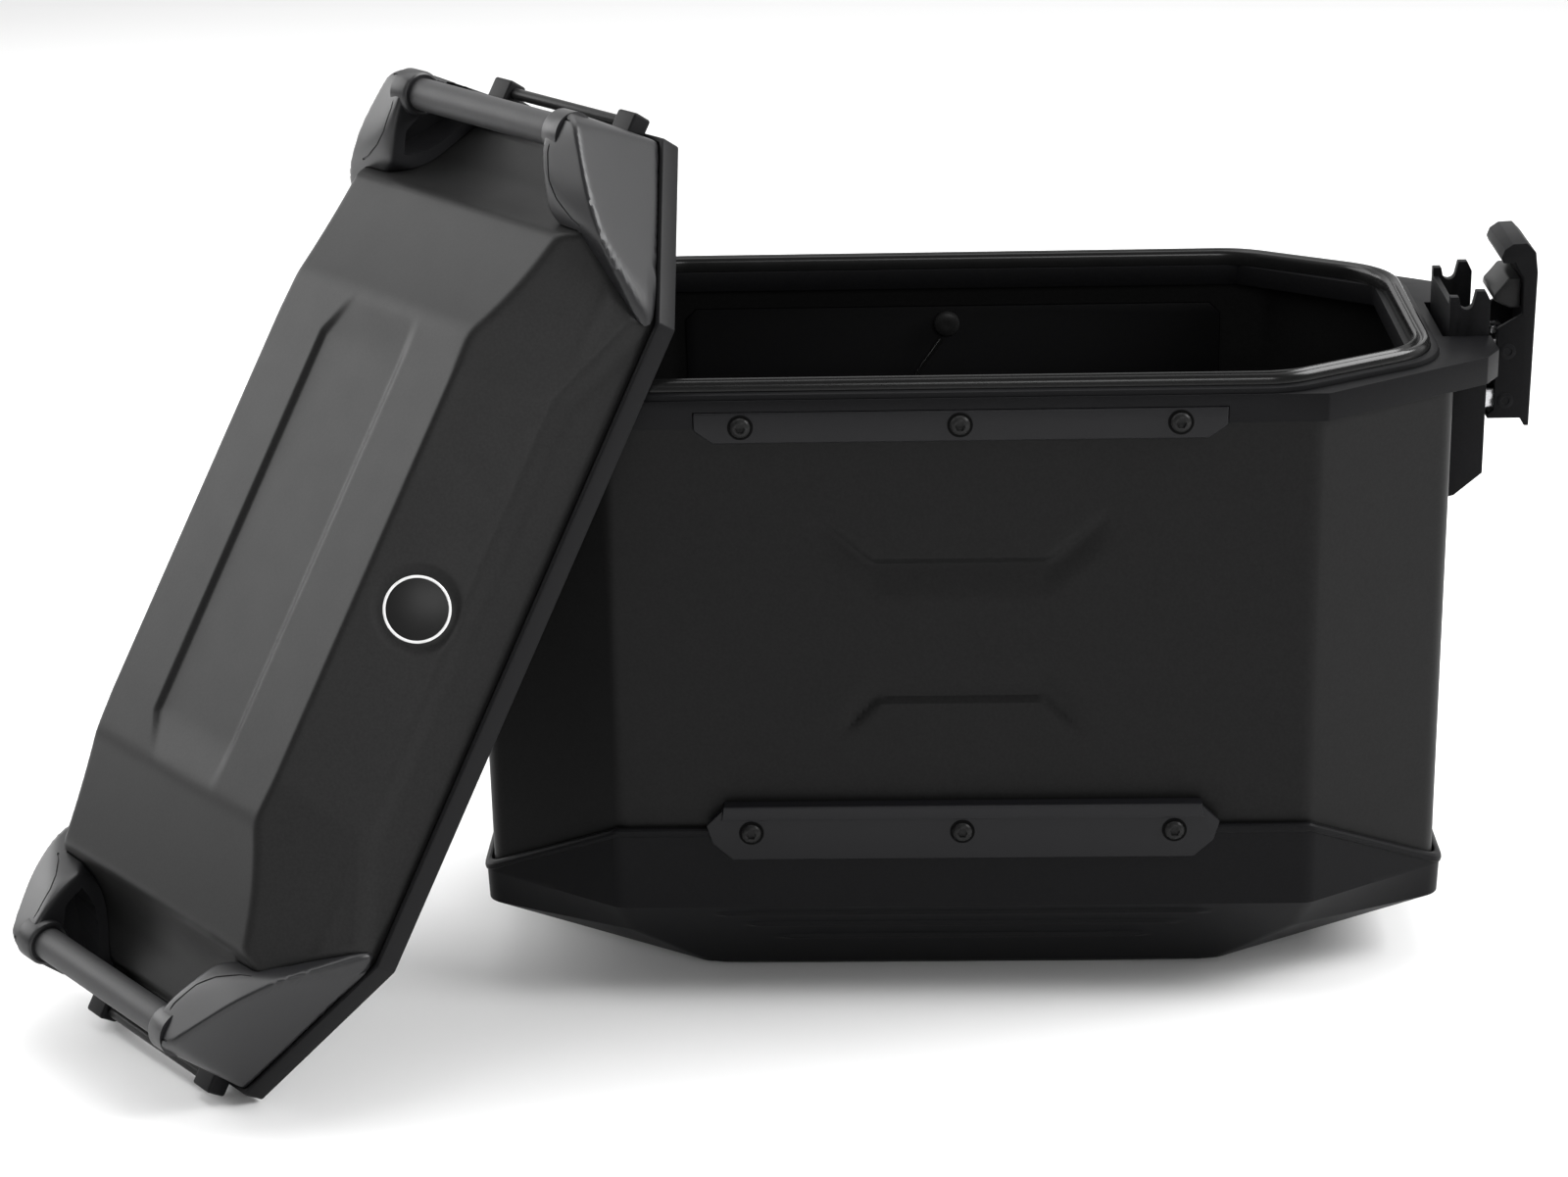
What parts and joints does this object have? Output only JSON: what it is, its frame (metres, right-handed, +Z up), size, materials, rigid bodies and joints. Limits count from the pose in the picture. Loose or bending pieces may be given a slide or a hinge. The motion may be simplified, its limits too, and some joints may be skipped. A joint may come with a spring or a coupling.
{
  "type": "motorcycle side case",
  "caption": "Rigid aluminium motorcycle side case with an eight-sided plan, lift-off domed lid with lashing bars, and a linked latch at each end.",
  "frame": {"origin": "centre of the case's foot, on the ground", "axes": "+X towards the end whose latch is seen, -Y out of the face away from the motorcycle, +Z up"},
  "size_m": [0.7756, 0.4004, 0.4601],
  "materials": {
    "coated_metal": "fine matte powder coat",
    "black_plastic": "fine grained moulding",
    "satin_plastic": "smooth satin moulding",
    "corner_piece": "smooth satin moulding",
    "bar": "satin coated tube",
    "steel": "plated steel",
    "dark_steel": "black plated steel",
    "seal": "smooth moulded rubber",
    "cord": "thin black cord",
    "badge": "gloss disc with a pale ring"
  },
  "bodies": {
    "case": {"body_shell": "coated_metal", "bottom_shell": "black_plastic", "cord_end": "steel", "cord_knob": "dark_steel", "inner_liner": "black_plastic", "latch_housing_left": "black_plastic", "latch_housing_right": "black_plastic", "latch_spring_left": "steel", "latch_spring_right": "steel", "lid_cord": "cord", "lower_base_pin_left": "steel", "lower_base_pin_right": "steel", "lower_plate": "satin_plastic", "lower_screw_1": "dark_steel", "lower_screw_2": "dark_steel", "lower_screw_3": "dark_steel", "rack_plate": "black_plastic", "rim_collar": "black_plastic", "rim_seal": "seal", "upper_base_pin_left": "steel", "upper_base_pin_right": "steel", "upper_screw_1": "dark_steel", "upper_screw_2": "dark_steel", "upper_screw_3": "dark_steel", "upper_strip": "satin_plastic"},
    "lid": {"keeper_pin_left": "steel", "keeper_pin_right": "steel", "lid_badge": "badge", "lid_bar_left": "bar", "lid_bar_right": "bar", "lid_cheek_back_left": "corner_piece", "lid_cheek_back_right": "corner_piece", "lid_cheek_front_left": "corner_piece", "lid_cheek_front_right": "corner_piece", "lid_shell": "coated_metal", "lid_skirt": "satin_plastic"},
    "upper_links_right": {"upper_link_front_right": "steel", "upper_link_back_right": "steel"},
    "lower_links_right": {"lower_link_front_right": "steel", "lower_link_back_right": "steel"},
    "lever_right": {"lever_claw_right": "dark_steel", "lever_right": "black_plastic", "lower_lever_pin_back_right": "steel", "lower_lever_pin_front_right": "steel", "upper_lever_pin_back_right": "steel", "upper_lever_pin_front_right": "steel"},
    "upper_links_left": {"upper_link_front_left": "steel", "upper_link_back_left": "steel"},
    "lower_links_left": {"lower_link_front_left": "steel", "lower_link_back_left": "steel"},
    "lever_left": {"lever_claw_left": "dark_steel", "lever_left": "black_plastic", "lower_lever_pin_back_left": "steel", "lower_lever_pin_front_left": "steel", "upper_lever_pin_back_left": "steel", "upper_lever_pin_front_left": "steel"}
  },
  "joints": [
    {"name": "lid_lift", "type": "slide", "parent": "case", "child": "lid", "axis": [-0.6141, -0.5747, 0.5409], "range_m": [0, 0.26]},
    {"name": "latch_right", "type": "hinge", "parent": "case", "child": "upper_links_right", "pos_m": [0.2656, 0, 0.312], "axis": [0, 1, 0], "range_deg": [0, 109]},
    {"name": "lever_on_links_right", "type": "hinge", "parent": "upper_links_right", "child": "lever_right", "pos_m": [0.2798, 0, 0.312], "axis": [0, 1, 0], "range_deg": [-109, 0]},
    {"name": "lower_links_turn_right", "type": "hinge", "parent": "case", "child": "lower_links_right", "pos_m": [0.2656, 0, 0.286], "axis": [0, 1, 0], "range_deg": [0, 109]},
    {"name": "latch_left", "type": "hinge", "parent": "case", "child": "upper_links_left", "pos_m": [-0.2656, 0, 0.312], "axis": [0, -1, 0], "range_deg": [0, 109]},
    {"name": "lever_on_links_left", "type": "hinge", "parent": "upper_links_left", "child": "lever_left", "pos_m": [-0.2798, 0, 0.312], "axis": [0, -1, 0], "range_deg": [-109, 0]},
    {"name": "lower_links_turn_left", "type": "hinge", "parent": "case", "child": "lower_links_left", "pos_m": [-0.2656, 0, 0.286], "axis": [0, -1, 0], "range_deg": [0, 109]}
  ],
  "couplings": [
    {"joint": "lever_on_links_right", "follows": "latch_right", "ratio": -1},
    {"joint": "lower_links_turn_right", "follows": "latch_right", "ratio": 1},
    {"joint": "lever_on_links_left", "follows": "latch_left", "ratio": -1},
    {"joint": "lower_links_turn_left", "follows": "latch_left", "ratio": 1}
  ]
}
